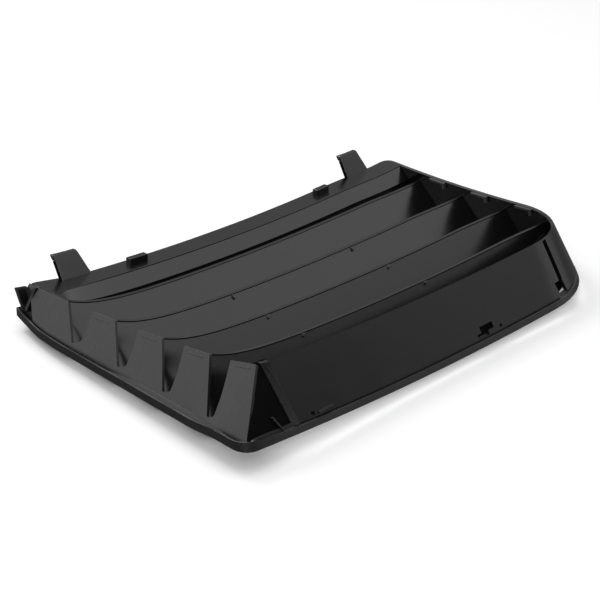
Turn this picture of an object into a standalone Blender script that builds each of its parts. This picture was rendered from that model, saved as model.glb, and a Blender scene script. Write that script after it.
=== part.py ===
# Louvred bumper grille, moulded in one piece, lying on its outer face with the fixing side up.
# Lengths are in metres. The grille is drawn flat first and is then tilted, sagged and bowed.
# Flat frame: X runs along the slats from the toothed end, Y points to the hooked back edge,
# and Z is zero at the upper edge of the walls.
import bpy
import bmesh
import math
from mathutils import Vector

# Outline of the upper edge
END_X = 0.3740            # outer face of the plain end wall where Y is zero
END_SLANT = 0.117         # the plain end wall leans in plan, shorter towards the front
FRONT_Y = -0.195          # outer face of the front wall
BACK_Y = 0.038            # outer face of the back skirt
BACK_CORNER_Y = 0.046     # the toothed end reaches a little further back
CORNER_R = 0.060          # plan radius of the front corner at the plain end
CORNER_GROWTH = 0.16      # that radius grows with the drop
BACK_R = 0.009            # plan radius of the back corner at the plain end
TOOTH_CORNER_R = 0.0035   # plan radius of the front corner at the toothed end
FOOT_CORNER_R = 0.0085    # the same corner down at the rim
HEEL_R = 0.0150           # plan radius of the rim at the back corner of the toothed end

# Depth of the walls and of the outer rim
DEPTH = 0.0283            # depth of the walls where Y is zero
DEPTH_GROWTH = 0.0239     # extra depth for each metre towards the front
DEPTH_CURVE = 0.280       # the depth grows faster near the front
BACK_LIFT = 0.0045        # the lower edge rises at the back skirt
RIM_H = 0.0054            # height of the stepped rim around the outer face
RIM_STEP = 0.0026         # how far the rim stands out at the toothed end
RIM_FLUSH = 0.15          # share of that step on the other three sides
SIDE_POINTS = 4           # the lower edge of the two ends is bowed in this many parts
WALL = 0.0025             # wall thickness
FLARE_TOOTHED = 0.65      # outward lean of the toothed end, run over drop
FLARE_FRONT = 0.56        # outward lean of the front wall
FLARE_END = 0.20          # outward lean of the plain end wall
FLARE_BACK = 0.15         # outward lean of the back skirt

# Slats
SLATS = 4
SLAT_FIRST = 0.0009       # Y of the first slat line
SLAT_PITCH = 0.0542
SLAT_EASE = 0.0013        # the pitch closes up towards the front
SLAT_TRAVEL = 0.0213      # how far a slat runs forward down to the floor of its notch
SLAT_T = 0.0024
SLAT_DROP = 0.0080        # the slat tops lie this far below the wall tops
SLAT_DROP_RUN = 0.022     # length over which a slat top drops away from its tooth
FOOT_CLEAR = 0.0006       # the floor of a notch stays this far above the groove of the rim
NOSE_CLEAR = 0.0003       # a slat ends this far above the lower edge
TOOTH_TOP = 0.0240        # width of the upper edge of a tooth
NOTCH_FLOOR = 0.0078      # width of the floor of a notch
NOTCH_RISE = 0.0032       # the notch floor rises towards the front
NOTCH_GAP = 0.0008        # a tooth stands proud of the slat face by this much

# Back flange and the blade that slopes forward from it
FLANGE_IN_Y = 0.0185      # inner edge of the flat back flange, where the blade begins
FLANGE_T = 0.0025
FLANGE_FILLET = 0.010     # plan fillet where the flange meets the first tooth
RAIL_DROP = 0.0124        # drop of the blade to its upright nose
RAIL_FOOT_Y = 0.0070      # Y of that nose along most of the length
RAIL_START_DROP = 0.0022  # the same drop beside the first tooth
RAIL_START_Y = 0.0046     # Y of the nose beside the first tooth
RAIL_T = 0.0033           # thickness of the blade, measured across it in Y

# Curve of the whole grille
TILT = 0.0462             # rise towards the front
TILT_CURVE = 0.287
SAG = 0.0070              # sag in the middle of the length
SAG_MID = 0.190
FRONT_RISE = 0.0022       # the front edge stands a little higher than the teeth
END_FALL = 0.0020         # the plain end lies a little lower
BACK_BOW = 0.0035         # the back flange bows forward in the middle
MESH_STEP = 0.030         # longest facet along the curved directions

# Hooks and small parts
HOOK_W = 0.0265
HOOK_TOP_W = 0.0205
HOOK_H = 0.0165
HOOK_LEAN = 0.0115
HOOK_SKEW = -0.0012       # the hook tops sit a little towards the toothed end
HOOK_T = 0.0028
HOOK_NIB = 0.0022
HOOK_XS = (0.0345, 0.3372)
LUG_OUT = 0.0120          # the skirt plate reaches this far past the teeth
LUG_T = 0.0026            # thickness of that plate
BLOCK_XS = (0.0870, 0.2855)
BLOCK_WS = (0.0170, 0.0145)
BLOCK_H = 0.0034
BLOCK_D = 0.0055
BLOCK_BACK = 0.0042       # the blocks stand this far in from the back edge
CLIPS = 3
CLIP_FIRST_Y = -0.0205
CLIP_PITCH = 0.0500
CLIP_LEN = 0.0180
CLIP_H = 0.0022
CLIP_OUT = 0.0022
CLIP_DOWN = 0.0009        # the clips start just below the upper edge
CLIP_LEG = 0.0060
PIP_XS = (0.105, 0.231)   # stations of the small pips below the slat tops, at the second slat
PIP_SHIFT = 0.24          # the pips step sideways from slat to slat
PIP_W = 0.0026
PIP_H = 0.0034
PIP_OUT = 0.0014

# Front wall details
RECESS_TOP_X = 0.0066     # upper end of the edge of the thick front panel
RECESS_FOOT_X = 0.0156    # lower end of that edge
RECESS_DEPTH = 0.0032
SLIT_X = 0.2958
SLIT_W = 0.0040
SLIT_LEAN = 0.0018        # the foot of the slit lies further from the teeth
SLIT_FOOT = 0.0322
WINDOW_W = 0.0070
WINDOW_H = 0.0102
HOLE_X = 0.2065
HOLE_Z = -0.0410
HOLE_W = 0.0060
HOLE_H = 0.0050


def smooth(u):
    u = min(1.0, max(0.0, u))
    return u * u * (3.0 - 2.0 * u)


def depth(y):
    return DEPTH - DEPTH_GROWTH * y + DEPTH_CURVE * y * y - BACK_LIFT * smooth((y - 0.012) / 0.030)


def curved(p):
    hump = 1.0 - ((p.x - SAG_MID) / SAG_MID) ** 2
    z = p.z - TILT * p.y + TILT_CURVE * p.y * p.y - SAG * hump
    z += FRONT_RISE * smooth((FRONT_Y + 0.030 - p.y) / 0.030)
    z -= END_FALL * smooth((p.x - END_X + 0.076) / 0.060)
    y = p.y - BACK_BOW * hump * smooth(p.y / 0.014)
    return Vector((p.x, y, z))


def solid(name, verts, faces):
    mesh = bpy.data.meshes.new(name)
    mesh.from_pydata([tuple(v) for v in verts], [], faces)
    obj = bpy.data.objects.new(name, mesh)
    bpy.context.scene.collection.objects.link(obj)
    tidy(mesh)
    return obj


def tidy(mesh):
    bm = bmesh.new()
    bm.from_mesh(mesh)
    bmesh.ops.recalc_face_normals(bm, faces=bm.faces[:])
    bm.to_mesh(mesh)
    bm.free()


def prism(name, near, far):
    n = len(near)
    verts = list(near) + list(far)
    faces = [tuple(range(n)), tuple(range(2 * n - 1, n - 1, -1))]
    for k in range(n):
        m = (k + 1) % n
        faces.append((k, k + n, m + n, m))
    return solid(name, verts, faces)


def tube(name, rings, closed):
    n = len(rings[0])
    verts = []
    for ring in rings:
        verts.extend(ring)
    faces = []
    last = len(rings) if closed else len(rings) - 1
    for r in range(last):
        a = r * n
        b = ((r + 1) % len(rings)) * n
        for k in range(n):
            m = (k + 1) % n
            faces.append((a + k, a + m, b + m, b + k))
    if not closed:
        faces.append(tuple(range(n)))
        faces.append(tuple(range(len(verts) - 1, len(verts) - n - 1, -1)))
    return solid(name, verts, faces)


def box(name, low, high):
    near = [Vector((low[0], low[1], low[2])), Vector((high[0], low[1], low[2])),
            Vector((high[0], high[1], low[2])), Vector((low[0], high[1], low[2]))]
    far = [Vector((v.x, v.y, high[2])) for v in near]
    return prism(name, near, far)


def combine(base, tool, kind):
    mod = base.modifiers.new("step", "BOOLEAN")
    mod.operation = kind
    mod.solver = "EXACT"
    mod.object = tool
    bpy.context.view_layer.update()
    graph = bpy.context.evaluated_depsgraph_get()
    mesh = bpy.data.meshes.new_from_object(base.evaluated_get(graph))
    base.modifiers.clear()
    old = base.data
    base.data = mesh
    bpy.data.meshes.remove(old)
    bpy.data.objects.remove(tool, do_unlink=True)
    return base


def rounded(points, radii, steps):
    out = []
    n = len(points)
    for k in range(n):
        v = points[k]
        a = (points[k - 1] - v).normalized()
        b = (points[(k + 1) % n] - v).normalized()
        half = 0.5 * a.angle(b)
        cut = radii[k] / math.tan(half)
        centre = v + (a + b).normalized() * (radii[k] / math.sin(half))
        start = v + a * cut - centre
        stop = v + b * cut - centre
        swing = start.angle_signed(stop)
        for s in range(steps[k] + 1):
            t = swing * s / steps[k]
            turned = Vector((start.x * math.cos(t) + start.y * math.sin(t),
                             start.y * math.cos(t) - start.x * math.sin(t)))
            out.append(centre + turned)
    return out


def level(y, kind):
    if kind == "top":
        return 0.0
    if kind == "rim":
        return depth(y) - RIM_H
    return depth(y)


def outline(kind, out):
    front = FRONT_Y
    back = BACK_Y
    flush = out * RIM_FLUSH if out > 0.0 else out
    for turn in range(8):
        front = FRONT_Y - FLARE_FRONT * level(front, kind) - flush
        back = BACK_Y + FLARE_BACK * level(back, kind) + flush
    corners = []
    for y, tooth in ((back, True), (front, True), (front, False), (back, False)):
        drop = level(y, kind)
        if tooth:
            corners.append(Vector((-FLARE_TOOTHED * drop - out, y)))
        else:
            corners.append(Vector((END_X + END_SLANT * y + FLARE_END * drop + flush, y)))
    heel = 0.002 if kind == "top" else HEEL_R
    foot = TOOTH_CORNER_R if kind == "top" else FOOT_CORNER_R
    bend = CORNER_R + min(out, 0.0) + CORNER_GROWTH * level(front, kind)
    radii = (heel + min(out, 0.0) * 0.3, foot + out * 0.5, bend, BACK_R + min(out, 0.0))
    steps = (4, 4, 12, 4)
    ring = rounded(corners, radii, steps)
    first = steps[0]
    second = sum(steps[:3]) + 2
    full = []
    for k, point in enumerate(ring):
        full.append(point)
        if k in (first, second):
            for part in range(1, SIDE_POINTS):
                full.append(point.lerp(ring[k + 1], part / SIDE_POINTS))
    return [Vector((p.x, p.y, -level(p.y, kind))) for p in full]


def shell():
    inside = -WALL * 1.12
    rings = [outline("top", 0.0), outline("rim", 0.0), outline("rim", RIM_STEP),
             outline("bottom", RIM_STEP + 0.0006), outline("bottom", inside + RIM_STEP * 0.5),
             outline("rim", inside), outline("top", inside)]
    return tube("grille", rings, True)


def core():
    mid = -WALL * 0.6
    top = [v + Vector((0.0, 0.0, 0.0004)) for v in outline("top", mid)]
    return tube("core", [top, outline("bottom", mid)], False)


def slat_line(i):
    return SLAT_FIRST - SLAT_PITCH * i + SLAT_EASE * i * i


def foot_drop(i):
    return depth(slat_line(i) - SLAT_TRAVEL) - RIM_H - FOOT_CLEAR


def slat_near(i, z):
    return slat_line(i) + SLAT_TRAVEL * z / foot_drop(i)


def slat_top(x):
    if x <= 0.0:
        return 0.0
    return -SLAT_DROP * (1.0 - math.exp(-x / SLAT_DROP_RUN))


def slat(i):
    drop = foot_drop(i)
    across = SLAT_T * math.hypot(1.0, SLAT_TRAVEL / drop)
    edge = NOSE_CLEAR - depth(slat_line(i) - SLAT_TRAVEL)
    foot = slat_near(i, edge)
    stations = [-0.060, 0.0]
    stations += [SLAT_DROP_RUN * 0.12 * k * (1.0 + 0.22 * k) for k in range(1, 9)]
    stations += [END_X * f for f in (0.28, 0.46, 0.64, 0.82, 1.10)]
    rings = []
    for x in stations:
        z = slat_top(x)
        near = slat_near(i, z)
        outline_yz = ((near, z), (foot, edge), (foot + across, edge), (near + across, z))
        rings.append([Vector((x, y, zz)) for y, zz in outline_yz])
    return tube("slat", rings, False)


def across_end(name, outline_yz, x0, x1):
    near = [Vector((x0, y, z)) for y, z in outline_yz]
    far = [Vector((x1, y, z)) for y, z in outline_yz]
    return prism(name, near, far)


def notch(i):
    drop = foot_drop(i)
    foot = slat_line(i) - SLAT_TRAVEL - NOTCH_GAP
    rise = 0.006
    top_y = slat_line(i) - NOTCH_GAP + SLAT_TRAVEL * rise / drop
    tooth = slat_line(i + 1) + TOOTH_TOP
    side = foot - NOTCH_FLOOR
    low = -drop + NOTCH_RISE
    bend_y = side + 0.30 * (tooth - side) - 0.0008
    bend_z = low * 0.62
    points = ((top_y, rise), (foot, -drop), (side, low), (bend_y, bend_z), (tooth, 0.0), (tooth, rise))
    return across_end("notch", points, -0.060, WALL * 1.12 + 0.0004)


def on_front(x, z, inward):
    return Vector((x, FRONT_Y + FLARE_FRONT * z + inward, z))


def front_block(name, outline_xz, deep, shallow):
    near = [on_front(x, z, deep) for x, z in outline_xz]
    far = [on_front(x, z, shallow) for x, z in outline_xz]
    return prism(name, near, far)


def rail():
    low = RIM_H - depth(FLANGE_IN_Y)
    face = FLANGE_IN_Y + 0.0003
    rings = []
    stations = [None, 0.003, 0.008, 0.014, 0.022, 0.032, 0.046, 0.070, None]
    for k, x in enumerate(stations):
        share = 1.0
        if k < len(stations) - 1:
            share = -slat_top(x or 0.0) / SLAT_DROP
        foot_y = RAIL_START_Y + (RAIL_FOOT_Y - RAIL_START_Y) * share
        foot_z = -RAIL_START_DROP - (RAIL_DROP - RAIL_START_DROP) * share
        ring = []
        for y, z in ((face, -0.0008), (foot_y, foot_z), (foot_y, low),
                     (foot_y + WALL, low), (foot_y + WALL, foot_z - 0.0012), (face + RAIL_T, -0.0009)):
            along = x
            if k == 0:
                along = FLARE_TOOTHED * z + 0.0013
            if k == len(stations) - 1:
                along = END_X + END_SLANT * y - FLARE_END * z - WALL * 0.5
            ring.append(Vector((along, y, z)))
        rings.append(ring)
    return tube("rail", rings, False)


def back_rail(base):
    r = FLANGE_FILLET
    points = [Vector((0.0012, -0.0005)), Vector((0.0012, BACK_CORNER_Y - 0.001)),
              Vector((0.0050, BACK_CORNER_Y - 0.001)), Vector((0.0400, BACK_Y - 0.0004))]
    end_x = END_X + END_SLANT * BACK_Y - WALL * 0.5
    points.append(Vector((end_x - BACK_R, BACK_Y - 0.0004)))
    points.append(Vector((end_x, BACK_Y - 0.0004 - BACK_R)))
    points.append(Vector((end_x, FLANGE_IN_Y)))
    for k in range(6):
        t = 0.5 * math.pi * k / 5.0
        points.append(Vector((0.0016 + r - r * math.sin(t), FLANGE_IN_Y - r + r * math.cos(t))))
    near = [Vector((p.x, p.y, 0.0)) for p in points]
    far = [Vector((p.x, p.y, -FLANGE_T)) for p in points]
    flange = prism("flange", near, far)
    combine(flange, rail(), "UNION")
    combine(base, flange, "UNION")
    return base


def hook(x):
    low = -0.0012
    f = -low / HOOK_H
    y0 = BACK_Y - 0.0026 - HOOK_LEAN * f
    near = []
    far = []
    for side, z in ((-1, low), (1, low), (1, HOOK_H), (-1, HOOK_H)):
        w = HOOK_W if z == low else HOOK_TOP_W
        y = y0 if z == low else BACK_Y - 0.0026 + HOOK_LEAN
        middle = x if z == low else x + HOOK_SKEW
        near.append(Vector((middle + 0.5 * side * w, y, z)))
        far.append(Vector((middle + 0.5 * side * w, y + HOOK_T, z)))
    plate = prism("hook", near, far)
    y = BACK_Y - 0.0026 + HOOK_LEAN + HOOK_T - 0.0012
    left = x + HOOK_SKEW - 0.5 * HOOK_TOP_W
    nib = box("nib", (left - 0.0004, y, HOOK_H - 0.0045), (left + 0.0050, y + HOOK_NIB, HOOK_H - 0.0006))
    return combine(plate, nib, "UNION")


def lug(base):
    # The back skirt runs on past the toothed end as an upright plate with a sunk panel.
    back = BACK_CORNER_Y + 0.0008
    foot = 0.0010 - depth(BACK_Y)
    left = -LUG_OUT
    face = ((left, -0.0015), (0.0060, -0.0015), (0.0060, foot), (left + 0.0010, foot),
            (left + 0.0036, foot + 0.0050), (left + 0.0024, foot + 0.0075))
    near = [Vector((x, back - LUG_T, z)) for x, z in face]
    far = [Vector((x, back, z)) for x, z in face]
    combine(base, prism("lug", near, far), "UNION")
    shelf = box("shelf", (left + 0.0010, BACK_Y - 0.0005, foot), (0.0060, back, foot + 0.0030))
    combine(base, shelf, "UNION")
    sunk = box("sunk", (left + 0.0032, back - LUG_T - 0.0020, foot + 0.0062),
               (-0.0026, back - LUG_T + 0.0008, 0.0020))
    combine(base, sunk, "DIFFERENCE")
    return base


def end_clip(base, k):
    y = CLIP_FIRST_Y - CLIP_PITCH * k
    inner = END_X - WALL * 1.12
    end = y - CLIP_LEN
    near = []
    far = []
    for yy, drop in ((y, 0.0), (end, 0.0), (end, CLIP_LEG), (end + 0.0030, CLIP_LEG),
                     (end + 0.0030, CLIP_H), (y, CLIP_H)):
        x = inner + END_SLANT * yy + FLARE_END * drop
        z = -CLIP_DOWN - drop
        near.append(Vector((x + 0.0010, yy, z)))
        far.append(Vector((x - CLIP_OUT, yy, z)))
    return combine(base, prism("clip", near, far), "UNION")


def pip(base, i, x):
    z = slat_top(x) - 0.0006
    near = []
    far = []
    for side, zz in ((-1, z), (1, z), (1, z - PIP_H), (-1, z - PIP_H)):
        y = slat_near(i, zz)
        near.append(Vector((x + 0.5 * side * PIP_W, y - PIP_OUT, zz)))
        far.append(Vector((x + 0.5 * side * PIP_W, y + 0.0010, zz)))
    return combine(base, prism("pip", near, far), "UNION")


def front_details(base):
    # The thick front panel starts at a slanting edge; beside the last tooth the wall is set back.
    foot = RIM_H - depth(FRONT_Y - FLARE_FRONT * 0.041) - 0.0014
    left = [(FLARE_TOOTHED * z + 0.0012, z) for z in (-0.0004, foot + 0.0040)]
    pad = (left[0], (RECESS_TOP_X + 0.006, -0.0004), (RECESS_FOOT_X + 0.006, foot), left[1])
    combine(base, front_block("pad", pad, WALL * 0.8, WALL + RECESS_DEPTH + 0.0002), "UNION")
    left = [(FLARE_TOOTHED * z + 0.0030, z) for z in (0.0040, foot + 0.0050)]
    cut = (left[0], (RECESS_TOP_X, 0.0040), (RECESS_FOOT_X, foot), left[1])
    combine(base, front_block("cut", cut, -0.0080, RECESS_DEPTH), "DIFFERENCE")
    rib = ((-0.0042, -0.0325), (-0.0024, -0.0325), (0.0026, foot), (0.0008, foot))
    combine(base, front_block("rib", rib, 0.0004, RECESS_DEPTH + 0.0010), "UNION")
    # Slit with a window at its foot, a group of clip holes and a pin hole with a short bar.
    a = SLIT_X - 0.5 * SLIT_W
    b = SLIT_X + 0.5 * SLIT_W
    slit = ((a, -0.0012), (b, -0.0012), (b + SLIT_LEAN, -SLIT_FOOT), (a + SLIT_LEAN, -SLIT_FOOT))
    combine(base, front_block("slit", slit, -0.0100, 0.0100), "DIFFERENCE")
    b = SLIT_X + 0.4 * SLIT_W
    a = b - WINDOW_W
    top = 0.0010 - SLIT_FOOT
    window = ((a, top), (b, top), (b + 0.0022, top - WINDOW_H), (a + 0.0020, top - WINDOW_H))
    combine(base, front_block("window", window, -0.0100, 0.0100), "DIFFERENCE")
    for dx, dz in ((0.0, 0.0032), (-0.0045, -0.0032)):
        x = HOLE_X + dx
        z = HOLE_Z + dz
        hole = ((x, z), (x + HOLE_W, z), (x + HOLE_W, z + HOLE_H), (x, z + HOLE_H))
        combine(base, front_block("hole", hole, -0.0100, 0.0100), "DIFFERENCE")
    pin = ((0.0272, -0.0414), (0.0302, -0.0414), (0.0302, -0.0384), (0.0272, -0.0384))
    combine(base, front_block("pin", pin, -0.0100, 0.0100), "DIFFERENCE")
    bar = ((0.0340, -0.0410), (0.0456, -0.0404), (0.0456, -0.0390), (0.0340, -0.0396))
    combine(base, front_block("bar", bar, -0.0010, 0.0008), "UNION")
    return base


def build():
    base = shell()
    for i in range(SLATS):
        combine(base, notch(i), "DIFFERENCE")
    heel = -depth(0.020) + RIM_H
    cut = ((BACK_CORNER_Y + 0.0045, 0.006), (0.0185, heel + 0.0006), (0.070, heel + 0.0036), (0.070, 0.006))
    combine(base, across_end("heel", cut, -0.060, 0.0009), "DIFFERENCE")
    # The first tooth reaches back past the skirt, and its back edge slants to the rim.
    tooth = ((0.0240, -0.0002), (BACK_CORNER_Y, -0.0002), (BACK_CORNER_Y + 0.0006, -0.0030),
             (BACK_CORNER_Y - 0.0095, -0.0098), (0.0206, heel + 0.0010))
    near = [Vector((FLARE_TOOTHED * z + 0.0001, y, z)) for y, z in tooth]
    far = [v + Vector((WALL, 0.0, 0.0)) for v in near]
    combine(base, prism("tooth", near, far), "UNION")
    back_rail(base)
    for i in range(SLATS):
        blade = slat(i)
        combine(blade, core(), "INTERSECT")
        combine(base, blade, "UNION")
    for x in HOOK_XS:
        combine(base, hook(x), "UNION")
    for x, w in zip(BLOCK_XS, BLOCK_WS):
        y = BACK_Y - BLOCK_BACK
        block = box("block", (x - 0.5 * w, y - BLOCK_D, -0.0010), (x + 0.5 * w, y, BLOCK_H))
        combine(base, block, "UNION")
    lug(base)
    for k in range(CLIPS):
        end_clip(base, k)
    for i in range(1, SLATS):
        for x in PIP_XS:
            pip(base, i, x + PIP_SHIFT * (slat_line(i) - slat_line(1)))
    front_details(base)
    return base


def refine(obj):
    bm = bmesh.new()
    bm.from_mesh(obj.data)
    bmesh.ops.remove_doubles(bm, verts=bm.verts[:], dist=0.00002)
    bmesh.ops.dissolve_limit(bm, angle_limit=0.0005, verts=bm.verts[:], edges=bm.edges[:])
    low = Vector((min(v.co.x for v in bm.verts), min(v.co.y for v in bm.verts), 0.0))
    high = Vector((max(v.co.x for v in bm.verts), max(v.co.y for v in bm.verts), 0.0))
    for axis in (0, 1):
        count = max(2, round((high[axis] - low[axis]) / MESH_STEP))
        normal = Vector((1.0 - axis, axis, 0.0))
        for k in range(1, count):
            spot = low + (high - low) * (k / count)
            geom = bm.verts[:] + bm.edges[:] + bm.faces[:]
            bmesh.ops.bisect_plane(bm, geom=geom, dist=0.00003, plane_co=spot, plane_no=normal)
    bmesh.ops.triangulate(bm, faces=bm.faces[:], quad_method="BEAUTY", ngon_method="BEAUTY")
    for v in bm.verts:
        v.co = curved(v.co)
    low = Vector([min(v.co[k] for v in bm.verts) for k in range(3)])
    high = Vector([max(v.co[k] for v in bm.verts) for k in range(3)])
    shift = Vector((0.5 * (low.x + high.x), 0.5 * (low.y + high.y), low.z))
    for v in bm.verts:
        v.co -= shift
    bmesh.ops.recalc_face_normals(bm, faces=bm.faces[:])
    bm.to_mesh(obj.data)
    bm.free()
    print("shift", [round(c, 5) for c in shift], "size", [round(c, 4) for c in high - low])


def plastic(name):
    mat = bpy.data.materials.new(name)
    mat.use_nodes = True
    shader = mat.node_tree.nodes["Principled BSDF"]
    shader.inputs["Base Color"].default_value = (0.022, 0.022, 0.024, 1.0)
    shader.inputs["Roughness"].default_value = 0.42
    return mat


for old in list(bpy.data.objects):
    bpy.data.objects.remove(old, do_unlink=True)
grille = build()
refine(grille)
grille.name = "grille"
grille.data.name = "grille"
grille.data.materials.clear()
grille.data.materials.append(plastic("satin_black_plastic"))
print("triangles", len(grille.data.polygons))
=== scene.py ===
# %% [markdown]
# # A louvred bumper grille in satin black plastic
# The real part is one injection moulding. It lies on its outer face, so the side that is normally
# hidden behind the bumper looks up: a plate with teeth at one end, four long louvre slats, a flat
# flange with two hook tabs along the back, and a deep front wall that runs round the corner.
# Everything here is built straight from its section with bmesh operators, in a flat drawing frame,
# and then bent into the gentle curve of the bumper.

# %% Load the frame
import math
import bpy
import bmesh
from mathutils import Matrix, Vector


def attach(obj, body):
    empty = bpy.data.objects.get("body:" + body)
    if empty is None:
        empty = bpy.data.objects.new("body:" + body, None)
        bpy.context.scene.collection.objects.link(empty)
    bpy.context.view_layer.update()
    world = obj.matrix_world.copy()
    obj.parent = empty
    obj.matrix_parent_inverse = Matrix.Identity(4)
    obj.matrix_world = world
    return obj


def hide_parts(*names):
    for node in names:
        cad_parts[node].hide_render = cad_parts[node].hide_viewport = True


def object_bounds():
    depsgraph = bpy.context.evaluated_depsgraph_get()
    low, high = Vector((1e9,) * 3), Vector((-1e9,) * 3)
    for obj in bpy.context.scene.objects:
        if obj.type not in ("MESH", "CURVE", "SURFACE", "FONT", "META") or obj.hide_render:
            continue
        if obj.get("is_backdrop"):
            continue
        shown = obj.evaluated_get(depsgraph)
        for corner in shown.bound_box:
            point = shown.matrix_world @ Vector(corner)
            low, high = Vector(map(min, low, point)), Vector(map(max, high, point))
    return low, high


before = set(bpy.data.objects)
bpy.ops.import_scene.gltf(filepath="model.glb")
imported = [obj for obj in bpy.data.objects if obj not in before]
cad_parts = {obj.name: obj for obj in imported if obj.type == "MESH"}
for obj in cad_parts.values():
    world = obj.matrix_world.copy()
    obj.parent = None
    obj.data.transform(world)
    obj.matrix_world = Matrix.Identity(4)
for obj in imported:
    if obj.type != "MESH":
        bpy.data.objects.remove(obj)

cad_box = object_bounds()
print("CAD box", [[round(c, 4) for c in p] for p in cad_box])

# %% [markdown]
# The drawing frame has X running along the slats from the toothed end, Y pointing to the hooked
# back edge and Z zero at the upper edge of the walls, all in metres. The walls get deeper towards
# the front. Keeping the curve of the bumper out of the drawing keeps every section a simple
# polygon; one function bends finished points at the very end.

# %% Shape of the drawing frame
def smooth(u):
    u = min(1.0, max(0.0, u))
    return u * u * (3.0 - 2.0 * u)


def depth(y):
    wall = 0.0283 - 0.0239 * y + 0.280 * y * y
    lift_at_back = 0.0045 * smooth((y - 0.012) / 0.030)
    return wall - lift_at_back


SHIFT = Vector((0.17485, -0.08606, -0.03438))
HALF_SPAN = 0.190
SAG = 0.0070


def bumper_curve(p):
    hump = 1.0 - ((p.x - HALF_SPAN) / HALF_SPAN) ** 2
    z = p.z - 0.0462 * p.y + 0.287 * p.y * p.y - SAG * hump
    z += 0.0022 * smooth((-0.165 - p.y) / 0.030)
    z -= 0.0020 * smooth((p.x - 0.298) / 0.060)
    return Vector((p.x, p.y - 0.0035 * hump * smooth(p.y / 0.014), z)) - SHIFT


FRONT_Y = -0.195
BACK_Y = 0.038
END_X = 0.3740
RIM_H = 0.0054
SEAM_H = 0.0052
WALL = 0.0025
deep = [round(depth(y) * 1000, 1) for y in (BACK_Y, -0.08, FRONT_Y)]
print("wall depth back, middle, front", deep, "mm")

# %% [markdown]
# A moulded edge is never perfectly sharp: a radius of about half a millimetre catches the light and
# draws the thin bright lines that outline this part in a photo. The bevel operator makes that
# radius. Weighted normals keep the flat faces flat beside it, so only the radius itself shades.

# %% Helpers that finish a piece
pieces = []
SAME_FACE = 0.84
WELD = 0.00001


def soften(bm, width, turn=0.55, segments=3):
    edges = [e for e in bm.edges if len(e.link_faces) == 2 and e.calc_face_angle(0.0) > turn]
    bmesh.ops.bevel(bm, geom=edges, offset=width, segments=segments, profile=0.5,
                    affect="EDGES", material=-1, clamp_overlap=True)


def round_corner(bm, vert, radius, segments):
    bmesh.ops.bevel(bm, geom=[vert], offset=radius, segments=segments, profile=0.5,
                    affect="VERTICES", material=-1)


def push_face(bm, axis):
    pushed = bmesh.ops.extrude_face_region(bm, geom=bm.faces[:])
    far = [g for g in pushed["geom"] if isinstance(g, bmesh.types.BMVert)]
    bmesh.ops.translate(bm, verts=far, vec=axis)


def slice_up(bm, step, axes=(0, 1)):
    for axis in axes:
        low = min(v.co[axis] for v in bm.verts)
        high = max(v.co[axis] for v in bm.verts)
        count = int((high - low) / step) + 1
        normal = Vector([1.0 if k == axis else 0.0 for k in range(3)])
        for k in range(1, count):
            spot = normal * (low + (high - low) * k / count)
            geom = bm.verts[:] + bm.edges[:] + bm.faces[:]
            bmesh.ops.bisect_plane(bm, geom=geom, dist=WELD, plane_co=spot, plane_no=normal)


def weigh_normals(mesh):
    around = [[] for v in mesh.vertices]
    facts = [(p.normal.copy(), p.area) for p in mesh.polygons]
    for p in mesh.polygons:
        for v in p.vertices:
            around[v].append(p.index)
    corners = []
    for p in mesh.polygons:
        for v in p.vertices:
            total = Vector((0.0, 0.0, 0.0))
            for q in around[v]:
                if facts[q][0].dot(facts[p.index][0]) > SAME_FACE:
                    total += facts[q][0] * facts[q][1]
            corners.append(total.normalized() if total.length > 0.0 else facts[p.index][0])
    for p in mesh.polygons:
        p.use_smooth = True
    mesh.normals_split_custom_set(corners)


def finish_piece(bm, name, finish):
    bmesh.ops.remove_doubles(bm, verts=bm.verts[:], dist=WELD)
    bmesh.ops.recalc_face_normals(bm, faces=bm.faces[:])
    for v in bm.verts:
        v.co = bumper_curve(v.co)
    mesh = bpy.data.meshes.new(name)
    bm.to_mesh(mesh)
    bm.free()
    weigh_normals(mesh)
    mesh.materials.append(finish)
    piece = bpy.data.objects.new(name, mesh)
    bpy.context.scene.collection.objects.link(piece)
    pieces.append(piece)
    print(name, len(mesh.polygons), "faces")
    return piece


# %% [markdown]
# The plastic is a satin black moulding. Its colour hardly changes, but the fine spark-eroded grain,
# slow changes of gloss where the melt flowed, and a little dust make it read as a real surface.
# A small wrapper lets node sockets be added and multiplied like numbers, which keeps each finish
# to a few readable lines. All textures read object coordinates, because the pieces have no
# unwrapped UVs and the grain has the same size everywhere on the real part.

# %% Shader helper
class Sock:
    def __init__(self, tree, socket):
        self.tree = tree
        self.socket = socket

    def node(self, kind, out=0, settings=None, **values):
        made = self.tree.nodes.new(kind)
        for key, value in (settings or {}).items():
            setattr(made, key, value)
        for key, value in values.items():
            numbered = key[0] == "i" and key[1:].isdigit()
            slot = made.inputs[int(key[1:])] if numbered else made.inputs[key]
            if isinstance(value, Sock):
                self.tree.links.new(value.socket, slot)
            else:
                slot.default_value = value
        return Sock(self.tree, made.outputs[out])

    def maths(self, operation, first, second):
        return self.node("ShaderNodeMath", settings={"operation": operation}, i0=first, i1=second)

    def __add__(self, other):
        return self.maths("ADD", self, other)

    def __radd__(self, other):
        return self.maths("ADD", other, self)

    def __sub__(self, other):
        return self.maths("SUBTRACT", self, other)

    def __rsub__(self, other):
        return self.maths("SUBTRACT", other, self)

    def __mul__(self, other):
        return self.maths("MULTIPLY", self, other)

    def __rmul__(self, other):
        return self.maths("MULTIPLY", other, self)

    def ramp(self, low, high):
        return self.node("ShaderNodeMapRange", settings={"interpolation_type": "SMOOTHSTEP"},
                         i0=self, i1=low, i2=high)


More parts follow.
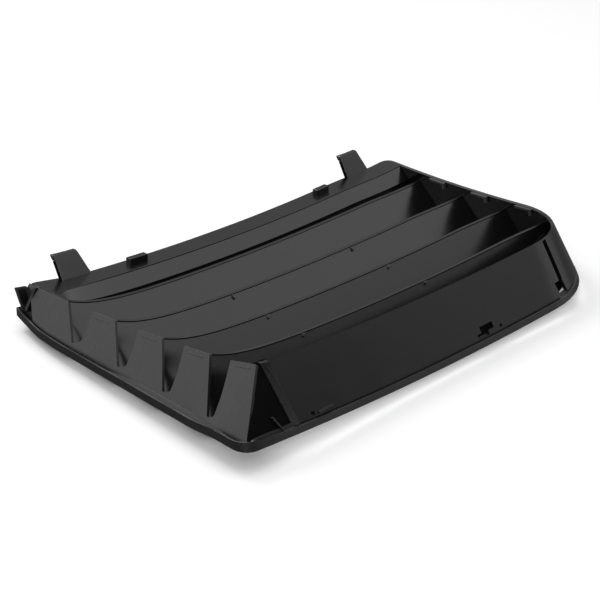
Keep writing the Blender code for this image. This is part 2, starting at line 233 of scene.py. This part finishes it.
# %% [markdown]
# One function mixes every finish of this part from the same plastic. The slats are the glossiest.
# The toothed plate is duller and faintly streaked, because the melt ran along it. The rim is a
# little greyer and rougher than the slats. The clips and the skirt plate are rougher as well and
# get a far
# lighter grey, which is painted light: it makes these shaded parts read as lit. The black behind
# the openings, on the set-back wall and on the strips beside the hook tabs has no shine at all: it
# is painted shade.

# %% Satin black plastic
def black_plastic(name, shade, gloss, blotch=22.0, streaks=0.0, shine=0.75):
    mat = bpy.data.materials.new(name)
    mat.use_nodes = True
    tree = mat.node_tree
    shader = tree.nodes["Principled BSDF"]
    place = Sock(tree, tree.nodes.new("ShaderNodeTexCoord").outputs["Object"])
    grain = place.node("ShaderNodeTexNoise", Vector=place, Scale=1500.0, Detail=2.0)
    cloud = place.node("ShaderNodeTexNoise", Vector=place, Scale=blotch, Detail=4.0)
    dust = place.node("ShaderNodeTexNoise", Vector=place, Scale=420.0, Detail=6.0).ramp(0.62, 0.74)
    stretched = place.node("ShaderNodeVectorMath", settings={"operation": "MULTIPLY"},
                           i0=place, i1=(60.0, 420.0, 60.0))
    flow = place.node("ShaderNodeTexNoise", Vector=stretched, Scale=1.0, Detail=3.0)
    flow = flow.ramp(0.42, 0.68)
    lighter = cloud * 0.35 + dust * 0.10 + flow * streaks
    low = tuple(c * 0.82 for c in shade) + (1.0,)
    high = tuple(c * 1.50 for c in shade) + (1.0,)
    tint = place.node("ShaderNodeMix", out=2, settings={"data_type": "RGBA"},
                      i0=lighter, i6=low, i7=high)
    tree.links.new(tint.socket, shader.inputs["Base Color"])
    rough = cloud * 0.10 + grain * 0.06 + flow * (0.25 * streaks) + (gloss - 0.08)
    tree.links.new(rough.socket, shader.inputs["Roughness"])
    height = grain * 0.6 + cloud * 0.4 + flow * streaks
    bump = place.node("ShaderNodeBump", Height=height, Strength=0.22, Distance=0.00010)
    tree.links.new(bump.socket, shader.inputs["Normal"])
    shader.inputs["Specular IOR Level"].default_value = shine
    return mat


louvre_black = black_plastic("louvre_black", (0.0034, 0.0034, 0.0038), 0.20)
tooth_black = black_plastic("tooth_black", (0.0068, 0.0068, 0.0074), 0.27,
                            blotch=95.0, streaks=0.10)
outer_black = black_plastic("outer_wall_black", (0.0040, 0.0040, 0.0044), 0.22)
rim_black = black_plastic("rim_black", (0.0060, 0.0060, 0.0065), 0.36, blotch=60.0)
# painted light: a far lighter black that makes the shaded skirt plate and clip strips read as lit
painted_lit_black = black_plastic("painted_lit_black", (0.0380, 0.0380, 0.0388), 0.40, blotch=60.0)
# painted shade: a black with no shine for the plates behind the openings, the set-back wall and the
# strips beside the hook tabs
painted_shade_black = black_plastic("painted_shade_black", (0.0042, 0.0042, 0.0044), 0.70, shine=0.0)
finishes = (louvre_black, tooth_black, outer_black, rim_black, painted_lit_black, painted_shade_black)
print("finishes", [m.name for m in finishes])

# %% [markdown]
# The camera was placed by matching the long slat lines, the teeth and the corner of the real part
# against their places in the photo. It looks down at about 26 degrees from the front left, from
# more than a metre away, so the long lens keeps the slats almost parallel.

# %% Camera
down = 0.4495478151794956
swing = 0.7880942320180649
flat = math.cos(down)
forward = Vector((math.cos(swing) * flat, math.sin(swing) * flat, -math.sin(down)))
right = Vector((math.sin(swing), -math.cos(swing), 0.0))
upward = right.cross(forward)
place = Vector((-0.6091388, -0.8465274, 0.4973201)) - SHIFT
lens = bpy.data.cameras.new("camera")
lens.sensor_width = 36.0
lens.lens = 96.466
camera = bpy.data.objects.new("camera", lens)
turned = Matrix((right, upward, -forward)).transposed()
camera.matrix_world = Matrix.Translation(place) @ turned.to_4x4()
bpy.context.scene.collection.objects.link(camera)
bpy.context.scene.camera = camera
print("camera at", [round(c, 3) for c in place])

# %% [markdown]
# Most parts of the moulding are plates or ribs: a flat outline pushed to a thickness. One helper
# does that. It starts from the few corner points of the outline, rounds each corner with a vertex
# bevel, extrudes the face, softens all edges and slices the result so that it can bend.

# %% Plates and ribs
def plate(name, corners, lay, finish, radius=0.0006, edge=0.0005, step=0.008, axes=(0, 1)):
    bm = bmesh.new()
    verts = [bm.verts.new((p[0], p[1], 0.0)) for p in corners]
    bm.faces.new(verts)
    for v, p in zip(verts, corners):
        r = p[2] if len(p) > 2 else radius
        if r > 0.0:
            round_corner(bm, v, r, 3)
    push_face(bm, (0.0, 0.0, 1.0))
    for v in bm.verts:
        v.co = lay(v.co.x, v.co.y, v.co.z)
    bmesh.ops.recalc_face_normals(bm, faces=bm.faces[:])
    if edge > 0.0:
        soften(bm, edge)
    slice_up(bm, step, axes)
    return finish_piece(bm, name, finish)


# %% [markdown]
# The toothed end is one upright plate, leaning outwards, with the end profile of every louvre cut
# into it. Each tooth has a flat top, a long front edge that carries its slat, and a slightly
# hollow back edge that comes down to the small floor of the notch. Drawing the whole comb as one
# outline in Y and Z keeps the teeth joined below, as they are on the moulding.

# %% Toothed end plate
SLATS = 4
TRAVEL = 0.0213
TOOTH_TOP = 0.0240
LEAN_TOOTHED = 0.65
PLATE_FOOT = 0.0012
PLATE_T = 0.0027
TOOTH_PROUD = 0.0008


def slat_line(i):
    return 0.0009 - 0.0542 * i + 0.0013 * i * i


def foot_drop(i):
    return depth(slat_line(i) - TRAVEL) - RIM_H - 0.0006


def rim_top(y):
    return RIM_H - depth(y)


def comb_outline():
    points = [(0.0210, PLATE_FOOT - depth(0.0210), 0.0), (0.0365, -0.0098, 0.002),
              (0.0466, -0.0030, 0.001), (0.0460, 0.0, 0.0006)]
    for i in range(SLATS):
        line = slat_line(i)
        drop = foot_drop(i)
        foot = line - TRAVEL - TOOTH_PROUD
        side = foot - 0.0085 + 0.0009 * i
        low = 0.0030 - 0.0006 * i - drop
        tooth = slat_line(i + 1) + TOOTH_TOP
        points.append((line - TOOTH_PROUD, 0.0, 0.0009))
        points.append((foot, -drop, 0.0009))
        points.append((side, low, 0.0014))
        points.append((side + 0.30 * (tooth - side) - 0.0008, low * 0.62, 0.004))
        points.append((tooth, 0.0, 0.0009))
    points.append((FRONT_Y + 0.0002, 0.0, 0.0009))
    foot = -0.2160
    points.append((foot, PLATE_FOOT - depth(foot), 0.0))
    for y in (-0.170, -0.125, -0.080, -0.030):
        points.append((y, PLATE_FOOT - depth(y), 0.0))
    return points


def on_plate(u, v, w):
    inward = Vector((1.0, 0.0, -LEAN_TOOTHED)).normalized()
    return Vector((LEAN_TOOTHED * v, u, v)) + inward * w


plate("toothed_end", comb_outline(), lambda u, v, w: on_plate(u, v, PLATE_T * w),
      tooth_black, edge=0.0010, axes=(1,))

# %% [markdown]
# A short raised line runs across every tooth but the first, just under its top. It stands out by
# a third of a millimetre and shows only as a thin line where its edge catches the light.

# %% Beads under the tooth tops
for i in range(1, SLATS + 1):
    left = slat_line(i) + TOOTH_TOP - 0.0060
    right_end = max(slat_line(i), FRONT_Y) + 0.0030
    bead = [(left, -0.0034), (right_end, -0.0034), (right_end, -0.0026), (left, -0.0026)]
    plate("tooth_bead_%d" % (i + 1), bead, lambda u, v, w: on_plate(u, v, 0.0003 - 0.0006 * w),
          tooth_black, radius=0.0003, edge=0.0002, axes=(1,))

# %% [markdown]
# Each slat is a louvre blade. Its upper edge starts at the top of a tooth, and just behind the
# tooth it drops away by eight millimetres; the blade slopes forward down to the lower edge. The
# section is extruded along X and sliced. Then each point is moved: the ends go against the leaning
# toothed plate and the slanted plain end, where the last slat follows the big corner, and close to
# the teeth the blade is drawn back a little.

# %% Slats
END_SLANT = 0.117
END_LEAN = 0.20
SLAT_T = 0.0024
SLAT_DROP = 0.0080
SLAT_FADE = 0.022
HOLLOW = 0.0150
HOLLOW_FADE = 0.009


def end_x(y, z):
    into_corner = max(0.0, -0.128 + 0.37 * z - y)
    return END_X + END_SLANT * y - END_LEAN * z - WALL * 0.6 - into_corner ** 2 / 0.13


def slat_dip(x):
    return 0.0 if x <= 0.0 else -SLAT_DROP * (1.0 - math.exp(-x / SLAT_FADE))


def crowd(share):
    return 0.35 * share + 0.65 * share * share


def slat(i):
    drop = foot_drop(i)
    across = SLAT_T * math.hypot(1.0, TRAVEL / drop)
    edge = 0.0003 - depth(slat_line(i) - TRAVEL)
    line = slat_line(i)
    foot = line + TRAVEL * edge / drop
    bm = bmesh.new()
    corners = ((line, 0.0, 0.0004), (line - 0.0003, -0.0012, 0.0002), (foot, edge, 0.0004),
               (foot + across, edge, 0.0004), (line + across, 0.0, 0.0004))
    verts = [bm.verts.new((0.0, p[0], p[1])) for p in corners]
    bm.faces.new(verts)
    for v, p in zip(verts, corners):
        round_corner(bm, v, p[2], 3)
    push_face(bm, (1.0, 0.0, 0.0))
    slice_up(bm, 0.014, (0,))
    slice_up(bm, 0.0025, (2,))
    for v in bm.verts:
        y, z = v.co.y, v.co.z
        start = LEAN_TOOTHED * z + 0.0024
        stop = end_x(y, z)
        x = start + (stop - start) * crowd(v.co.x)
        dip = slat_dip(x) * (1.0 - z / edge)
        hollow = HOLLOW * math.exp(-(x - start) / HOLLOW_FADE) * smooth((z / edge - 0.22) / 1.1)
        v.co = Vector((x, y + TRAVEL * dip / drop + hollow, z + dip))
    return finish_piece(bm, "slat_%d" % (i + 1), louvre_black)


for i in range(SLATS):
    slat(i)

# %% [markdown]
# The outer walls run from the front left, round the big corner, along the plain end and back along
# the hooked edge. They are drawn as two lines, one at the upper edge and one down at the rim,
# bridged into a skin, cut for the openings, and then thickened inwards. The walls lean, so where a
# corner stands and how deep the wall is there depend on each other: a few rounds settle both.

# %% Wall lines
LEAN = {"front": 0.56, "end": END_LEAN, "back": 0.15}
CORNER_R = 0.060
CORNER_SPREAD = 0.16
CORNER_REACH = 1.12
BACK_CORNER_R = 0.009


def wall_corners(drop_of, out):
    front = FRONT_Y
    back = BACK_Y
    for turn in range(8):
        front = FRONT_Y - LEAN["front"] * drop_of(front) - out
        back = BACK_Y + LEAN["back"] * drop_of(back) + out
    right_front = END_X + END_SLANT * front + LEAN["end"] * drop_of(front) + out
    right_back = END_X + END_SLANT * back + LEAN["end"] * drop_of(back) + out
    return front, back, right_front, right_back


def corner_size(drop, out):
    return (CORNER_R + out + CORNER_SPREAD * drop) * CORNER_REACH


def edges_at(bm, mark):
    return [e for e in bm.edges if max(abs(v.co.z - mark) for v in e.verts) < 0.01]


def divide_longest(bm, mark, count):
    longest = sorted(edges_at(bm, mark), key=lambda e: -e.calc_length())[:count]
    bmesh.ops.subdivide_edges(bm, edges=longest, cuts=9)
    return edges_at(bm, mark)


def wall_line(bm, mark, drop_of, out, left_front, left_back):
    front, back, right_front, right_back = wall_corners(drop_of, out)
    path = ((left_front, front), (right_front, front), (right_back, back), (left_back, back))
    verts = [bm.verts.new((x, y, mark)) for x, y in path]
    for a, b in zip(verts, verts[1:]):
        bm.edges.new((a, b))
    round_corner(bm, verts[1], corner_size(drop_of(front), out), 14)
    round_corner(bm, verts[2], BACK_CORNER_R + out, 4)
    return divide_longest(bm, mark, 3)


def groove_rise(x):
    return 0.0008 * smooth((x - 0.050) / 0.040) - 0.0004


# %% [markdown]
# An opening in a bent wall is cut in three steps: slice the skin along the four sides of the
# opening, delete the faces between the cuts, and thicken the skin afterwards. Solidify then makes
# the inner walls of each opening too, so it shows the real thickness of the plastic.

# %% Front wall, corner, plain end and back skirt
def front_faces(bm):
    return [f for f in bm.faces if f.calc_center_median().y < -0.150]


def cut_opening(bm, left, right, foot, top, slant):
    for spot, normal in (((left, 0, 0), (1, 0, slant)), ((right, 0, 0), (1, 0, slant)),
                         ((0, 0, foot), (0, 0, 1)), ((0, 0, top), (0, 0, 1))):
        faces = front_faces(bm)
        verts = list({v for f in faces for v in f.verts})
        edges = list({e for f in faces for e in f.edges})
        bmesh.ops.bisect_plane(bm, geom=verts + edges + faces, dist=WELD,
                               plane_co=Vector(spot), plane_no=Vector(normal))
    gone = []
    for f in front_faces(bm):
        c = f.calc_center_median()
        if foot < c.z < top and left < c.x + slant * c.z < right:
            gone.append(f)
    bmesh.ops.delete(bm, geom=gone, context="FACES")
    return len(gone)


def foot_of(y):
    return depth(y) - SEAM_H


OPENINGS = (("slit", 0.2934, 0.2982, -0.0312, -0.0012, 0.056),
            ("window", 0.2824, 0.2928, -0.0412, -0.0312, 0.200),
            ("upper clip hole", 0.1990, 0.2128, -0.0380, -0.0338, 0.0),
            ("lower clip hole", 0.1946, 0.2066, -0.0412, -0.0380, 0.0),
            ("small clip hole", 0.2190, 0.2212, -0.0400, -0.0382, 0.0),
            ("pin hole", 0.0272, 0.0302, -0.0412, -0.0384, 0.0))
bm = bmesh.new()
upper = wall_line(bm, 0.0, lambda y: 0.0, 0.0, 0.0066, -0.002)
lower = wall_line(bm, -1.0, foot_of, 0.0, 0.0156, -0.010)
bmesh.ops.bridge_loops(bm, edges=upper + lower)
for v in bm.verts:
    if v.co.z < -0.5:
        v.co.z = -foot_of(v.co.y) + groove_rise(v.co.x)
    else:
        v.co.z = 0.0
for opening in OPENINGS:
    print(opening[0], "takes out", cut_opening(bm, *opening[1:]), "faces")
slice_up(bm, 0.008)
bmesh.ops.recalc_face_normals(bm, faces=bm.faces[:])
middle = Vector((0.18, -0.08, -0.02))
outward = sum(f.normal.dot(f.calc_center_median() - middle) for f in bm.faces)
if outward < 0.0:
    bmesh.ops.reverse_faces(bm, faces=bm.faces[:])
bmesh.ops.solidify(bm, geom=bm.faces[:], thickness=WALL)
bmesh.ops.recalc_face_normals(bm, faces=bm.faces[:])
soften(bm, 0.0007, turn=0.9)
finish_piece(bm, "outer_wall", outer_black)

# %% [markdown]
# The rim is the stepped lip that goes all the way round the outer face. At the toothed end an
# upright lip stands in front of the teeth with a narrow trough behind it; along the front it is
# flush, and only a fine recessed groove separates it from the wall. It is a closed band, so each
# section line is a full loop, and the bridge operator joins one loop to the next, the last back
# to the first. Each row of the table is one loop: how deep it runs and how far it stands out, first
# at the toothed end, then on the other sides. How close a point is to the teeth decides how much
# it takes from each.

# %% Rim
RIM_OUT = 0.0053
LUG_Y = 0.0468
LIP_H = 0.0063
LIP_T = 0.0012
FLUSH = 0.0004
GROOVE = 0.0014


def above(height):
    return lambda y: depth(y) - height


SECTIONS = ((above(0.0040), -0.0038, above(0.0060), -0.0012),
            (above(0.0016), -0.0016, above(0.0041), -GROOVE),
            (above(0.0016), RIM_OUT - LIP_T, above(0.0040), -0.0009),
            (above(LIP_H), RIM_OUT - LIP_T, above(0.0039), -0.0003),
            (above(LIP_H), RIM_OUT, above(0.0038), FLUSH),
            (depth, RIM_OUT, depth, FLUSH),
            (depth, -0.0050, depth, -0.0022),
            (above(0.0040), -0.0055, above(0.0060), -0.0024))


def toothed_x(y, out):
    return 0.0018 + 0.0061 * smooth(y / BACK_Y) - LEAN_TOOTHED * depth(y) - out


def rim_loop(bm, mark, out, side_drop, flush):
    front, back, right_front, right_back = wall_corners(side_drop, flush)
    path = ((toothed_x(LUG_Y, out), LUG_Y + flush), (toothed_x(0.0, out), 0.0),
            (toothed_x(front, out) - 0.0018, front), (right_front, front), (right_back, back),
            (0.0400, back))
    verts = [bm.verts.new((x, y, mark)) for x, y in path]
    for k in range(len(verts)):
        bm.edges.new((verts[k], verts[(k + 1) % len(verts)]))
    sizes = (0.0012, 0.0200, 0.0085 + out * 0.5, corner_size(side_drop(front), flush),
             BACK_CORNER_R + flush, 0.0060)
    for v, size, count in zip(verts, sizes, (3, 4, 5, 14, 4, 3)):
        round_corner(bm, v, size, count)
    return divide_longest(bm, mark, 4)


bm = bmesh.new()
loops = [rim_loop(bm, -float(k), s[1], s[2], s[3]) for k, s in enumerate(SECTIONS)]
for k in range(len(loops)):
    bmesh.ops.bridge_loops(bm, edges=loops[k] + loops[(k + 1) % len(loops)])
for v in bm.verts:
    at_teeth, out, at_side, flush = SECTIONS[round(-v.co.z)]
    share = 1.0 - smooth((v.co.x - toothed_x(v.co.y, RIM_OUT) - 0.004) / 0.016)
    v.co.z = -share * at_teeth(v.co.y) - (1.0 - share) * at_side(v.co.y)
bmesh.ops.recalc_face_normals(bm, faces=bm.faces[:])
soften(bm, 0.00035, turn=0.7)
slice_up(bm, 0.008)
finish_piece(bm, "rim", rim_black)

# %% [markdown]
# The back flange is the flat land along the hooked edge. From its inner edge a narrow blade slopes
# forward like the slats and ends in an upright nose. Beside the first tooth the blade lies almost
# level, and it falls away along the same curve as the slat tops, so the slot in front of it opens
# slowly from nothing.

# %% Flange
FLANGE_Y = 0.0185
flange = [(0.0012, -0.0005), (0.0012, 0.0452), (0.0050, 0.0452), (0.0400, BACK_Y - 0.0004),
          (END_X + END_SLANT * BACK_Y - 0.0016, BACK_Y - 0.0004, BACK_CORNER_R),
          (END_X + END_SLANT * FLANGE_Y - 0.0016, FLANGE_Y),
          (0.0116, FLANGE_Y), (0.0072, 0.0174), (0.0038, 0.0148), (0.0020, 0.0110)]
plate("flange", flange, lambda u, v, w: Vector((u, v, -WALL * w)), louvre_black,
      radius=0.0, edge=0.0003)

# %% [markdown]
# The blade is drawn with the section that it has along most of its length: a slope, an upright
# nose and a foot. Near the toothed end the slope is flattened, point by point, by the same curve
# that lowers the slat tops.

# %% Back blade
BLADE_DROP = 0.0107
BLADE_START_DROP = 0.0022
BLADE_FOOT_Y = 0.0086


def back_blade():
    low = rim_top(FLANGE_Y)
    bm = bmesh.new()
    corners = ((FLANGE_Y + 0.0003, -0.0006), (BLADE_FOOT_Y, -BLADE_DROP), (BLADE_FOOT_Y, low),
               (BLADE_FOOT_Y + WALL, low), (BLADE_FOOT_Y + WALL, -BLADE_DROP - 0.0012),
               (FLANGE_Y + 0.0036, -0.0010))
    verts = [bm.verts.new((0.0, y, z)) for y, z in corners]
    bm.faces.new(verts)
    round_corner(bm, verts[1], 0.0005, 3)
    push_face(bm, (1.0, 0.0, 0.0))
    slice_up(bm, 0.014, (0,))
    for v in bm.verts:
        y, z = v.co.y, v.co.z
        down = min(1.0, -z / BLADE_DROP) if z > -BLADE_DROP else (z - low) / (-BLADE_DROP - low)
        out = min(1.0, -z / BLADE_DROP)
        share = crowd(v.co.x)
        missing = 1.0 + slat_dip(share * END_X) / SLAT_DROP
        y -= missing * 0.0040 * out
        z += missing * (BLADE_DROP - BLADE_START_DROP) * down
        start = LEAN_TOOTHED * z + 0.0018
        v.co = Vector((start + (end_x(y, z) - start) * share, y, z))
    return finish_piece(bm, "back_blade", louvre_black)


back_blade()

# %% [markdown]
# Two hook tabs stand on the back edge. They lean back, taper towards the top and carry a small nib
# at one upper corner. A thin strip down one side of each has the black without shine: painted shade
# for the shaded side of the tab. Beside them are two low locating blocks.

# %% Hook tabs and blocks
HOOK_H = 0.0165
HOOK_T = 0.0028
HOOK_LEAN = 0.0115


def hook_place(u, v, w):
    return Vector((u, BACK_Y - 0.0026 + HOOK_LEAN * v / HOOK_H + HOOK_T * w, v))


for k, x in enumerate((0.0345, 0.3372)):
    top = x - 0.0012
    tab = [(x - 0.01325, -0.0012, 0.0), (x + 0.01325, -0.0012, 0.0),
           (top + 0.01025, HOOK_H, 0.0012), (top - 0.01025, HOOK_H, 0.0012)]
    plate("hook_tab_%d" % (k + 1), tab, hook_place, louvre_black, edge=0.0004)
    # painted shade: a black strip along the shaded side of the tab
    edge = [(x - 0.01325, -0.0008), (x - 0.01215, -0.0008),
            (top - 0.00955, 0.0118), (top - 0.01065, 0.0118)]
    plate("hook_shade_strip_%d" % (k + 1), edge,
          lambda u, v, w: hook_place(u - 0.0003, v, 0.10 + 1.3 * w),
          painted_shade_black, radius=0.0, edge=0.0)
    left = top - 0.01065
    nib = [(left, 0.0120), (left + 0.0050, 0.0120), (left + 0.0050, 0.0159), (left, 0.0159)]
    plate("hook_nib_%d" % (k + 1), nib,
          lambda u, v, w: hook_place(u, v, 0.6) + Vector((0.0, 0.0032 * w, 0.0)),
          louvre_black, edge=0.0003)
for k, (x, width) in enumerate(((0.0870, 0.0170), (0.2855, 0.0145))):
    y = BACK_Y - 0.0042
    half = width / 2
    block = [(x - half, y - 0.0055), (x + half, y - 0.0055), (x + half, y), (x - half, y)]
    plate("locating_block_%d" % (k + 1), block,
          lambda u, v, w: Vector((u, v, -0.0008 + 0.0054 * w)),
          louvre_black, edge=0.0004)

# %% [markdown]
# The skirt runs on past the teeth as an upright plate with a thin pad on it. The plate gets the far
# lighter grey, which is painted light: it makes the shaded plate read greyer than the rest. The
# plain end carries three clip strips, each with a short leg, in the same painted lighter grey, and
# every slat but the first has two small ejector pips just under its top edge.

# %% Skirt plate, clips and pips
lug_foot = 0.0010 - depth(BACK_Y)
lug = [(-0.0128, -0.0008), (-0.0034, -0.0016), (0.0006, -0.0044), (0.0060, -0.0044),
       (0.0060, lug_foot), (-0.0123, lug_foot), (-0.0104, -0.0203), (-0.0085, -0.0167),
       (-0.0097, -0.0131)]
# painted light: a far lighter grey on the shaded skirt plate
plate("skirt_plate", lug, lambda u, v, w: Vector((u, LUG_Y - 0.0011 + 0.0011 * w, v)),
      painted_lit_black, edge=0.0003)
panel = [(-0.0108, -0.0024), (-0.0042, -0.0030), (-0.0010, -0.0162), (-0.0074, -0.0158)]
plate("skirt_panel", panel, lambda u, v, w: Vector((u, LUG_Y - 0.0014 + 0.0005 * w, v)),
      rim_black, edge=0.0)


def inside_end(u, v, w):
    return Vector((END_X + END_SLANT * u - END_LEAN * v - 0.0018 - 0.0032 * w, u, v))


CLIP_FIRST_Y = -0.0205
CLIP_PITCH = 0.0500
for k in range(3):
    y = CLIP_FIRST_Y - CLIP_PITCH * k
    strip = [(y, -0.0009), (y - 0.0180, -0.0009), (y - 0.0180, -0.0069), (y - 0.0150, -0.0069),
             (y - 0.0150, -0.0031), (y, -0.0031)]
    # painted light: the clip strips get the far lighter grey
    plate("end_clip_%d" % (k + 1), strip, inside_end, painted_lit_black, radius=0.0003, edge=0.0003)


def on_slat(i, u, v, w):
    near = slat_line(i) + TRAVEL * v / foot_drop(i)
    return Vector((u, near - 0.0014 + 0.0024 * w, v))


for i in range(1, SLATS):
    for k, x in enumerate((0.105, 0.231)):
        x += 0.24 * (slat_line(i) - slat_line(1))
        top = slat_dip(x) - 0.0006
        low = top - 0.0022
        pip = [(x - 0.0013, top), (x + 0.0013, top), (x + 0.0013, low), (x - 0.0013, low)]
        plate("pip_%d_%d" % (i + 1, k + 1), pip, lambda u, v, w: on_slat(i, u, v, w),
              louvre_black, radius=0.0003, edge=0.0003)

# %% [markdown]
# Beside the last tooth the front wall is set back behind a thick slanting panel edge, with a small
# rib in front of it. The set-back part gets the black without shine, which is painted shade for the
# deep shade it lies in. A short raised bar sits low on the panel, next to the pin hole.

# %% Front wall details
def on_front(inward, deeper):
    def lay(u, v, w):
        return Vector((u, FRONT_Y + LEAN["front"] * v + inward + (deeper - inward) * w, v))
    return lay


low = rim_top(FRONT_Y - LEAN["front"] * 0.041) - 0.0010
# painted shade: the set-back wall is coloured black for the shade it lies in
plate("set_back_wall", [(0.0004, -0.0004), (0.0120, -0.0004), (0.0210, low),
                        (LEAN_TOOTHED * low + 0.0010, low)],
      on_front(0.0032, 0.0057), painted_shade_black, radius=0.0)


RIDGE = 0.45


def panel_edge(u, v, w):
    fall = v / low
    x = 0.0046 + 0.0058 * fall + u * (0.0062 - 0.0014 * fall)
    inward = -0.0008
    if u < RIDGE:
        inward += 0.0026 * (1.0 - u / RIDGE)
    else:
        inward += 0.0006 * (u - RIDGE)
    return Vector((x, FRONT_Y + LEAN["front"] * v + inward + 0.0036 * w, v))


plate("panel_edge", [(0.0, -0.0004), (RIDGE, -0.0004), (1.0, -0.0004), (1.0, low), (RIDGE, low),
                     (0.0, low)], panel_edge, tooth_black, radius=0.0, edge=0.0003)
plate("short_rib", [(-0.0042, -0.0325), (-0.0026, -0.0325), (0.0024, low), (0.0008, low)],
      on_front(0.0004, 0.0040), tooth_black, radius=0.0, edge=0.0003)
plate("short_bar", [(0.0336, -0.0408), (0.0400, -0.0400), (0.0468, -0.0396), (0.0468, -0.0382),
                    (0.0400, -0.0386), (0.0336, -0.0394)],
      on_front(-0.0010, 0.0008), tooth_black, radius=0.0003, edge=0.0003)

# %% [markdown]
# Behind the slit, the window, the clip holes and the pin hole sit closed plates, a few millimetres
# inside each opening, in the black without shine. They are painted shade: a dark sheet that makes
# each opening read as black from outside. Near the big corner the plates bend inwards, a little
# more than the wall does.

# %% Shade plates behind the openings
BEND_FROM_X = 0.277


def behind_opening(u, v, w):
    bent = max(0.0, u - BEND_FROM_X) ** 2 / 0.12
    return on_front(0.0022 + bent, 0.0050 + bent)(u, v, w)


SHADE_PLATES = (("slit_shade_plate", 0.2900, 0.3130, -0.0330, -0.0022),
           ("window_shade_plate", 0.2850, 0.3130, -0.0415, -0.0300),
           ("hole_shade_plate", 0.1935, 0.2235, -0.0422, -0.0310),
           ("pin_shade_plate", 0.0255, 0.0320, -0.0415, -0.0370))
# painted shade: dark plates that make each opening read black
for name, left, right, foot, top in SHADE_PLATES:
    plate(name, [(left, foot), (right, foot), (right, top), (left, top)], behind_opening,
          painted_shade_black, radius=0.0, edge=0.0, step=0.003)

# %% [markdown]
# The floor is plain and pale, so that the black part stands alone with a soft shadow. A dark
# moulding shows mostly what it reflects, so the reflections are arranged like those in a studio:
# a bright ceiling makes the slats and teeth read grey, and dark surroundings low down keep the
# front wall and the inner right wall almost black. The Light Path node does this: the floor is
# pale for the camera and dark for mirrored rays, and the white horizon is there only for the
# camera and for rays that pass through something clear.

# %% Floor and background
bm = bmesh.new()
bmesh.ops.create_grid(bm, x_segments=1, y_segments=1, size=3.0)
floor_mesh = bpy.data.meshes.new("floor")
bm.to_mesh(floor_mesh)
bm.free()
floor = bpy.data.objects.new("floor", floor_mesh)
bpy.context.scene.collection.objects.link(floor)
paper = bpy.data.materials.new("paper")
paper.use_nodes = True
sheet = paper.node_tree.nodes["Principled BSDF"]
kind_of_ray = paper.node_tree.nodes.new("ShaderNodeLightPath")
mirrored = Sock(paper.node_tree, kind_of_ray.outputs["Is Glossy Ray"])
shade = mirrored.node("ShaderNodeMix", out=2, settings={"data_type": "RGBA"}, i0=mirrored,
                      i6=(0.86, 0.86, 0.86, 1.0), i7=(0.10, 0.10, 0.10, 1.0))
paper.node_tree.links.new(shade.socket, sheet.inputs["Base Color"])
sheet.inputs["Roughness"].default_value = 0.9
sheet.inputs["Specular IOR Level"].default_value = 0.0
floor_mesh.materials.append(paper)
floor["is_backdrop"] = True

# %% [markdown]
# The world is the room that the plastic mirrors. The direction decides how bright it is: the walls
# are dark behind the camera, bright to the left and right, and dimmer again on the far side. The
# ceiling is bright from about 30 degrees up, with a brighter patch overhead. Low down the camera
# sees plain white instead.

# %% Room
world = bpy.data.worlds.new("studio")
bpy.context.scene.world = world
world.use_nodes = True
sky = world.node_tree
direction = Sock(sky, sky.nodes.new("ShaderNodeTexCoord").outputs["Generated"])
rise = direction.node("ShaderNodeSeparateXYZ", out=2, i0=direction)
away = direction.node("ShaderNodeVectorMath", out=1, settings={"operation": "DOT_PRODUCT"},
                      i0=direction, i1=(0.707, 0.707, 0.0))
walls = away.ramp(-0.05, 0.13) * 0.55 - away.ramp(0.34, 0.66) * 0.35 + 0.06
ceiling = rise.ramp(0.42, 0.62)
glow = walls + ceiling * (1.02 - walls) + rise.ramp(0.84, 0.92) * 0.6
paths = sky.nodes.new("ShaderNodeLightPath")
seen = Sock(sky, paths.outputs["Is Camera Ray"]) + Sock(sky, paths.outputs["Is Transmission Ray"])
strength = glow + seen * (1.0 - rise.ramp(0.06, 0.20)) * (1.0 - glow)
sky.nodes["Background"].inputs["Color"].default_value = (1.0, 1.0, 1.0, 1.0)
sky.links.new(strength.socket, sky.nodes["Background"].inputs["Strength"])
print("world", world.name, "with", len(sky.nodes), "nodes")

# %% [markdown]
# Three soft lamps finish the light. One large window on the left gives the toothed end its
# brightness. Two smaller ones are placed where the rounded edges mirror them: one behind the part
# for the tops of the teeth, one in front for their upright edges.

# %% Lamps
def softbox(name, spot, size, watts):
    lamp = bpy.data.lights.new(name, "AREA")
    lamp.shape = "RECTANGLE"
    lamp.size, lamp.size_y = size
    lamp.energy = watts
    holder = bpy.data.objects.new(name, lamp)
    turned = (-Vector(spot)).to_track_quat("-Z", "Y")
    holder.matrix_world = Matrix.Translation(spot) @ turned.to_matrix().to_4x4()
    bpy.context.scene.collection.objects.link(holder)
    print(name, watts, "W")


softbox("left_window", (-1.25, 1.15, 0.66), (1.3, 1.1), 2.0)
softbox("back_light", (-0.08, 1.02, 1.22), (0.6, 0.4), 6.4)
softbox("front_light", (-1.00, -0.92, 0.84), (0.5, 0.4), 6.4)
scene = bpy.context.scene
scene.view_settings.view_transform = "Standard"

# %% [markdown]
# All pieces belong to the one moulding, so all of them ride the root body and stand in for its
# plain solid. The boxes before and after show that the dressed part keeps the size of the solid.

# %% Hand over to the frame
for piece in pieces:
    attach(piece, "root")
    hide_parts("grille")
bpy.context.view_layer.update()
final_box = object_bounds()
for axis, a, b, c, d in zip("XYZ", cad_box[0], cad_box[1], final_box[0], final_box[1]):
    print(axis, "grew by", round((a - c) * 1000, 2), "and", round((d - b) * 1000, 2), "mm")
